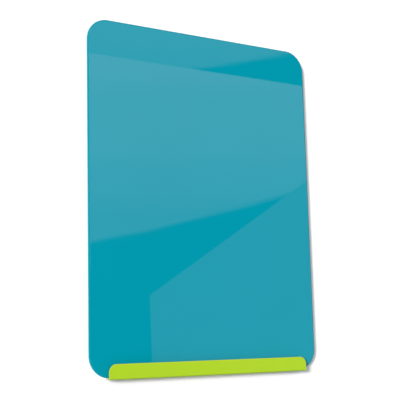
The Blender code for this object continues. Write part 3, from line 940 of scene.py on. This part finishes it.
def makeScrew(node, seat):
    # A pan head: y = seat + height*(1 - (r/R)^4)^0.5 out from the middle, less a recess wherever
    # the distance to the nearer axis of the cross is under half an arm's width.
    shape = screwShape
    low, high, centre, _ = measure(node)
    head, shank, steps, soft = (
        shape[key] for key in ("headRadius", "shankRadius", "turnSteps", "armSoftness"))
    fromArm = np.linspace(0, 2 * pi, steps, endpoint=False) - radians(shape["recessTurn"])
    share = easeOut(shape["faceSteps"])[:, None]
    radius = head * share
    offAxis = radius * np.minimum(np.abs(np.cos(fromArm)), np.abs(np.sin(fromArm)))
    arms = softStep(shape["armHalf"] - offAxis, soft) * softStep(shape["armLength"] - radius, soft)
    recess = shape["armDepth"] * arms * (1 - shape["armRise"] * radius / shape["armLength"])
    y = seat + (high.y - seat) * (1 - share ** 4) ** 0.5 - recess
    body = np.array([(head, seat), (shank, seat), (shank, low.y), (0, low.y)])
    grids = [(turned(radius, y, steps, centre), 0.0, True),
             (turned(body[:, :1], body[:, 1:], steps, centre), 0.0, True)]
    dressNode(node, grids, "zinc_plate")


# Bumpers

bumperShape = {
    "corner": 0.006,
    "rim": 0.001,            # of the wall side; the other side's is half as wide
    "grooves": 4,
    "grooveDepth": 0.0006,
    "grooveShare": 0.86,     # the grooved part of the face
    "sideSteps": 5,
    "cornerSteps": 8,
    "faceSteps": 60,
    "backSteps": 3,
}


def makeBumper(node):
    # A moulded pad. On the wall side its face has ring grooves as far out as v = grooveShare: their
    # depth follows (1 - cos(2*pi*grooves*v/grooveShare)) / 2, and v is 0 in the middle, 1 at the rim.
    shape = bumperShape
    low, high, centre, (half, _) = measure(node)
    rim, backRim, turn = shape["rim"], shape["rim"] / 2, quarterTurn(shape["sideSteps"])
    square = [(-half, half), (half, half), (half, -half), (-half, -half)]
    loop = roundedPolygon(square, shape["corner"], shape["cornerSteps"])
    normal = outwards(loop)
    inset = np.concatenate([rim - rim * np.sin(turn), backRim - backRim * np.cos(turn)])
    depth = np.concatenate([high.y - rim + rim * np.cos(turn), low.y + backRim - backRim * np.sin(turn)])
    v = evenly(0, 1, shape["faceSteps"])[:, None]
    wave = (1 - np.cos(2 * pi * shape["grooves"] * v / shape["grooveShare"])) / 2
    surfaces = [
        (loop - inset[:, None, None] * normal, depth[:, None]),
        (v[..., None] * (loop - rim * normal),
         high.y - shape["grooveDepth"] * wave * (v < shape["grooveShare"])),
        (evenly(1, 0, shape["backSteps"])[:, None, None] * (loop - backRim * normal), low.y)]
    dressNode(node, [(standUp(centre + flat, y), 0.0, True) for flat, y in surfaces], "rubber")


# Glue pressed out along the channels

beadShape = {
    "radius": 0.0015,
    "swell": 0.30,           # how much the radius varies
    "paces": (61, 143, 37),  # radians a metre of the three sines that it follows
    "hollow": 0.18,          # how far the face is drawn in
    "endClearance": 0.004,
    "arcSteps": 6,
    "pitch": 0.004,
}


def beadSection(start, end, phase):
    # A quarter-round fillet: its radius is r*(1 + swell*wave), where the wave is the mean of
    # three sines of unlike length, and it runs out to nothing at both ends.
    shape = beadShape
    along = evenly(start, end, int((end - start) / shape["pitch"]))
    waves = [np.sin(along * pace + phase * k) for k, pace in enumerate(shape["paces"], 1)]
    radius = shape["radius"] * (1 + shape["swell"] * sum(waves) / len(waves))
    taper = np.minimum(along - start, end - along) / shape["endClearance"]
    radius = (radius * np.sqrt(np.clip(taper, 0, 1)))[:, None]
    turn = quarterTurn(shape["arcSteps"])
    radius = radius * (1 - shape["hollow"] * np.sin(2 * turn))
    across, rise = (np.append(radius * wave(turn), 0 * along[:, None], axis=1) for wave in (np.cos, np.sin))
    return along[:, None], across, rise


def makeGlueBeads():
    # Both outer sides of every channel get a fillet on the back sheet.
    sheetBack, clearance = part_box("back_sheet")[1].y, beadShape["endClearance"]
    grids = []
    for number, node in enumerate(channels):
        upright, (start, end), width = lengthAndWidth(node)
        for side, towards in zip(width, (-1, 1)):
            along, across, rise = beadSection(start + clearance, end - clearance, number + towards)
            across, y = side + towards * across, sheetBack + rise
            grid = pointsOf(across, y, along) if upright else pointsOf(along, y, across)
            grids.append((grid, 0.0, True))
    addPiece("glueBeads", grids, glue)


makePanel()
makeTray()
for node in channels:
    makeChannel(node)
print("panel, tray and channels made")

for level in ("top", "bottom"):
    for side in ("left", "right"):
        makeGusset(level, side)
for side in ("left", "right"):
    makeHanger("hanger_" + side)
    makeBumper("bumper_" + side)
makeWallRail()
print("plates, hangers, bumpers and wall rail made")

gussetBack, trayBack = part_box("gusset_top_left")[1].y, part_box("marker_tray")[1].y
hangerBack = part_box("hanger_left")[0].y + hangerShape["sheet"]
for node in numbered("gusset_rivet_"):
    makeRivet(node, gussetBack)
for rivet, screw in zip(numbered("hanger_rivet_"), numbered("tray_screw_")):
    makeRivet(rivet, hangerBack)
    makeScrew(screw, trayBack)
makeGlueBeads()
print("fasteners and glue made")

# The CAD nodes that stay get their finish too.
for row in frame["record"]["subparts"]:
    node = frame["nodes"][row["node"]]
    if not node.hide_render:
        node.data.materials.clear()
        node.data.materials.append(finishes[row["material_slot"]])


# Camera

photoView = {
    "place": (-1.6473, -2.7233, -1.0055),   # metres
    "yaw": 30.9925,            # degrees to the right of +Y
    "pitch": 8.8125,           # degrees up
    "roll": -1.4265,           # degrees that the view's right side is lifted
    "focalPixels": 894.33,     # focal length in pixels of the image below
    "imageSize": 400,
    "sensor": 36,              # mm
    "clip": (0.01, 100),       # metres
}


def cameraAxes():
    # The view's right, up and ahead directions.
    yaw, pitch, roll = (radians(photoView[name]) for name in ("yaw", "pitch", "roll"))
    ahead = np.array([sin(yaw) * cos(pitch), cos(yaw) * cos(pitch), sin(pitch)])
    level = np.array([cos(yaw), -sin(yaw), 0])
    over = np.cross(level, ahead)
    return cos(roll) * level + sin(roll) * over, cos(roll) * over - sin(roll) * level, ahead


def makeCamera():
    right, up, ahead = cameraAxes()
    data = bpy.data.cameras.new("photoCamera")
    data.sensor_width = photoView["sensor"]
    data.lens = photoView["sensor"] * photoView["focalPixels"] / photoView["imageSize"]
    data.clip_start, data.clip_end = photoView["clip"]
    camera = bpy.data.objects.new("photoCamera", data)
    columns = pointsOf(right, up, -ahead, photoView["place"])
    camera.matrix_world = Matrix([*columns.tolist(), (0, 0, 0, 1)])
    bpy.context.scene.collection.objects.link(camera)
    bpy.context.scene.camera = camera


makeCamera()


# Studio: a white wall and floor, a lamp from the left and one from behind, and what gloss mirrors

studio = {
    "ambient": 0.40,           # strength of the even light
    "wallColour": 1.12,        # a little over white, so that only shadows are grey
    "floorColour": 1.22,
    "mirroredRoom": (0.55, 1.0),   # how bright the room looks in metal, below and above
    "horizonSoftness": 0.6,    # height of a direction at which that is reached
    "floorDrop": 0.90,
    "stageSize": 12.0,
    "wallGap": 0.0005,
    "flagFront": (0.20, -0.15),   # the black flags' gap to the board's edges, and their y
    "flagBack": (0.02, 0.02),
    "clothReach": 4.2,         # from the board's edges to those of the dark cloth in front
    "trayFlagGap": 0.0005,
    # Strength, degrees to the left of the board's front, degrees up, and softness in degrees
    "keyLamp": (2.96, 50, 8.5, 12),
    "backLamp": (2.4, -145, 32, 24),
}


def stageItem(name, points, faces, material):
    item = meshObject(name, points, faces, material)
    return item


def flatShape(name, corners, material):
    return stageItem(name, np.array(corners), np.array([(0, 1, 2, 3)]), material)


def seenOnlyBy(item, kind):
    # It shows to one kind of ray, casts no shadow and lights nothing else.
    for name in ("camera", "diffuse", "glossy", "transmission", "volume_scatter", "shadow"):
        setattr(item, "visible_" + name, name == kind)


def plainMaterial(name, kind, values):
    # A material of one shader, with its tree, its shader and its output.
    material = bpy.data.materials.new(name)
    material.use_nodes = True
    tree = material.node_tree
    tree.nodes.clear()
    shader = addNode(tree, kind, values)
    output = addNode(tree, "ShaderNodeOutputMaterial", {"Surface": shader.outputs[0]})
    return material, tree, shader, output


def stageMaterial(name, brightness, seenBy="Is Camera Ray"):
    # A plain surface that takes shadows, seen only by one kind of ray and only from its front.
    # Everything else passes through it, so that the back of the object is lit as well.
    material, tree, diffuse, output = plainMaterial(
        name, "ShaderNodeBsdfDiffuse", {"Color": (*(brightness,) * 3, 1)})
    path, side = addNode(tree, "ShaderNodeLightPath"), addNode(tree, "ShaderNodeNewGeometry")
    front = calculate(tree, "SUBTRACT", path.outputs[seenBy], side.outputs["Backfacing"])
    clear = addNode(tree, "ShaderNodeBsdfTransparent")
    mix = addNode(tree, "ShaderNodeMixShader", {0: front, 1: clear.outputs[0], 2: diffuse.outputs[0]})
    fill(tree, output.inputs["Surface"], mix.outputs[0])
    return material


def makeStage():
    reach, gap = studio["stageSize"] / 2, studio["wallGap"]
    floorZ = cadLow.z - studio["floorDrop"]
    flatShape("wall", [
        (-reach, gap, floorZ), (reach, gap, floorZ), (reach, gap, reach), (-reach, gap, reach)],
        stageMaterial("wallWhite", studio["wallColour"]))
    flatShape("floor", [
        (-reach, -reach, floorZ), (reach, -reach, floorZ), (reach, reach, floorZ), (-reach, reach, floorZ)],
        stageMaterial("floorWhite", studio["floorColour"]))


def makeWorld():
    # Even light on the object; white for the camera, and brighter above than below in metal.
    world = bpy.data.worlds.new("studioAir")
    world.use_nodes = True
    bpy.context.scene.world = world
    tree = world.node_tree
    background, soft = tree.nodes["Background"], studio["horizonSoftness"]
    background.inputs["Color"].default_value = (1, 1, 1, 1)
    seenBy = addNode(tree, "ShaderNodeLightPath").outputs
    direction = addNode(tree, "ShaderNodeSeparateXYZ", {
        0: addNode(tree, "ShaderNodeTexCoord").outputs["Generated"]})
    room = toRange(tree, direction.outputs["Z"], *studio["mirroredRoom"], -soft, soft)
    glossy = calculate(tree, "ADD", seenBy["Is Glossy Ray"], seenBy["Is Transmission Ray"])
    shown = calculate(tree, "MULTIPLY", glossy, room)
    lit = toRange(tree, glossy, studio["ambient"], 0, 0, 1)
    strength = calculate(tree, "ADD", calculate(tree, "ADD", shown, lit), seenBy["Is Camera Ray"])
    tree.links.new(strength, background.inputs["Strength"])


def makeSun(name):
    # A wide, even lamp. At 0 degrees to the left it shines straight at the board's face.
    strength, toLeft, height, softness = studio[name]
    data = bpy.data.lights.new(name, "SUN")
    data.energy, data.angle = strength, radians(softness)
    lamp = bpy.data.objects.new(name, data)
    lamp.rotation_euler = (pi / 2 - radians(height), 0, -radians(toLeft))
    lamp.visible_glossy = False
    bpy.context.scene.collection.objects.link(lamp)


reflections = {
    "cardDistance": 3.0,       # from the wall, in front of the board
    "layerStep": 0.05,
    "brightLayer": 2,          # steps from the dark cloth towards the board
    "faintLayer": 3,
    "imageEdge": (-60, 460),   # pixels, well outside the picture
    "columns": 130,
    "rows": 40,
    # Lines in the photo, in pixels from left to right
    "bandLine": ((88, 52.7), (302, 86.0)),
    "wedgeLine": ((196, 68.5), (216, 65.6), (240, 62.5), (264, 58.2), (280, 55), (292, 52), (310, 47)),
    "wedgeSoftness": ((196, 0.8), (240, 2.0), (270, 3.2), (300, 5.0)),
    "middleLine": ((90, 243.7), (110, 238.6), (145, 232.1), (175, 223.9), (215, 214.1), (245, 206.6),
                   (285, 195)),
    "middleSoftness": ((90, 1.5), (150, 2.5), (290, 3.5)),
    "middleOverrun": 6,        # pixels that the middle sheet goes on below its line
    "lowerCorner": (149.7, 295.3),
    "lowerLeft": (152.1, 361),
    "lowerRight": (285.5, 196.3),
    # Brightness of each reflection, by pixel row
    "bandGlow": ((24, 0.87), (42, 0.84), (50, 0.78), (60, 0.73), (68, 0.73)),
    "fadeStart": 100,          # pixel column
    "fadeToRight": 0.0005,     # share lost by the middle sheet for each pixel past that column
    "middleGlow": ((55, 1.48), (72, 1.47), (80, 1.40), (86, 1.30), (96, 1.23), (140, 1.22), (152, 1.15),
                   (160, 1.08), (170, 1.0), (190, 0.94), (200, 0.87), (212, 0.76), (230, 0.73)),
    "lowerGlow": 0.43,
}


def mirrored(pixels, layer):
    # Where the ray through a pixel goes after the board's face turns it back, on the card's plane.
    right, up, ahead = cameraAxes()
    middle, focal = photoView["imageSize"] / 2, photoView["focalPixels"]
    ray = ahead + (pixels[..., :1] - middle) / focal * right + (middle - pixels[..., 1:]) / focal * up
    eye, faceY = np.array(photoView["place"]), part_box("writing_panel")[0].y
    hit = eye + ray * ((faceY - eye[1]) / ray[..., 1:2])
    away = ray * (1, -1, 1)
    cardY = -reflections["cardDistance"] + layer * reflections["layerStep"]
    return hit + away * ((cardY - faceY) / away[..., 1:2])


def valueAt(points, x):
    # Height at x of a line through several points, level past both ends.
    return np.interp(x, *np.array(points, float).T)


def lineAt(points, x):
    # The same, but going on straight past both ends.
    (firstX, _), (lastX, _) = points[0], points[-1]
    points = np.array(points, float)
    slopes = np.diff(points[:, 1]) / np.diff(points[:, 0])
    y = valueAt(points, x) + slopes[0] * np.minimum(x - firstX, 0)
    return y + slopes[-1] * np.maximum(x - lastX, 0)


def fallingEdge(line, softness, x, y):
    # 1 above a soft line and 0 below it.
    return softStep(line - y, 2 * valueAt(softness, x))


def makeCard(name, layer, x, top, bottom, glow, lean=0):
    # A sheet of light: each column starts at pixel (x, top) and goes down to the row of bottom,
    # leaning by so many pixels a row. Glow gives the brightness for a grid of pixels.
    y = between(top, bottom, evenly(0, 1, reflections["rows"])[:, None])
    x = x + lean * (y - top)
    grid = mirrored(pointsOf(x, y), layer)
    card = stageItem(name, grid, cellCorners(*y.shape, 0, False), cardMaterial)
    keepNumber(card.data, "glow", glow(x, y))
    seenOnlyBy(card, "glossy")


def makeCardMaterial():
    # Light as strong as the glow kept with the mesh, so a mesh without it is black.
    material, tree, light, _ = plainMaterial("cardLight", "ShaderNodeEmission", {})
    fill(tree, light.inputs["Strength"], readNumber(tree, "glow"))
    return material


def makeReflections():
    # Sheets of light in front of the board that only its gloss shows: a band above, a middle one
    # whose upper edge follows the band's lower edge, and a fainter one nearer to the board.
    setup = reflections
    low, high = setup["imageEdge"]
    x = evenly(low, high, setup["columns"])
    band, middle = lineAt(setup["bandLine"], x), lineAt(setup["middleLine"], x)
    inWedge = x >= setup["wedgeLine"][0][0]
    wedge = np.where(inWedge, np.minimum(lineAt(setup["wedgeLine"], x), band), band)
    reach = 2 * valueAt(setup["wedgeSoftness"], x)
    bottom = np.where(inWedge, np.minimum(wedge + reach, band), band)

    def bandGlow(x, y):
        edge = fallingEdge(wedge, setup["wedgeSoftness"], x, y)
        return valueAt(setup["bandGlow"], y) * np.where(inWedge, edge, 1)

    def middleGlow(x, y):
        edge = fallingEdge(middle, setup["middleSoftness"], x, y)
        fade = 1 - setup["fadeToRight"] * (x - setup["fadeStart"])
        return valueAt(setup["middleGlow"], y) * edge * fade

    def lowerGlow(x, y):
        return np.full_like(y, setup["lowerGlow"])

    makeCard("bandSheet", setup["brightLayer"], x, low, bottom, bandGlow)
    makeCard("middleSheet", setup["brightLayer"], x, band, middle + setup["middleOverrun"], middleGlow)

    corner, foot = setup["lowerCorner"], setup["lowerLeft"]
    x = evenly(corner[0], high, setup["columns"])
    lean = (foot[0] - corner[0]) / (foot[1] - corner[1])
    edge = lineAt((corner, setup["lowerRight"]), x)
    makeCard("lowerSheet", setup["faintLayer"], x, edge, high, lowerGlow, lean)


def makeFlags():
    # Black flags that slant from the board's rim out to the front, and a dark cloth far in front,
    # keep the white room out of the board's gloss.
    def frameCorners(gap, y):
        low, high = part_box("writing_panel")
        left, right, bottom, top = low.x - gap, high.x + gap, low.z - gap, high.z + gap
        return [(left, y, bottom), (left, y, top), (right, y, top), (right, y, bottom)]

    front, back = frameCorners(*studio["flagFront"]), frameCorners(*studio["flagBack"])
    flags = {"darkCloth": frameCorners(studio["clothReach"], -reflections["cardDistance"])}
    for side, name in enumerate(("flagLeft", "flagTop", "flagRight", "flagBottom")):
        following = (side + 1) % len(front)
        flags[name] = [front[side], front[following], back[following], back[side]]
    for name, corners in flags.items():
        seenOnlyBy(flatShape(name, corners, cardMaterial), "glossy")


def makeTrayFlag():
    # A black strip just under the tray, which only scattered light meets, and only from below: it
    # keeps lime light off the wall there.
    low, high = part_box("marker_tray")
    z = low.z - studio["trayFlagGap"]
    corners = [(low.x, low.y, z), (low.x, high.y, z), (high.x, high.y, z), (high.x, low.y, z)]
    black = stageMaterial("trayFlagBlack", 0, "Is Diffuse Ray")
    seenOnlyBy(flatShape("trayFlag", corners, black), "diffuse")


makeStage()
makeWorld()
makeSun("keyLamp")
makeSun("backLamp")
cardMaterial = makeCardMaterial()
makeReflections()
makeFlags()
makeTrayFlag()
bpy.context.scene.view_settings.view_transform = "Standard"
print("stage, lamps and reflections made")
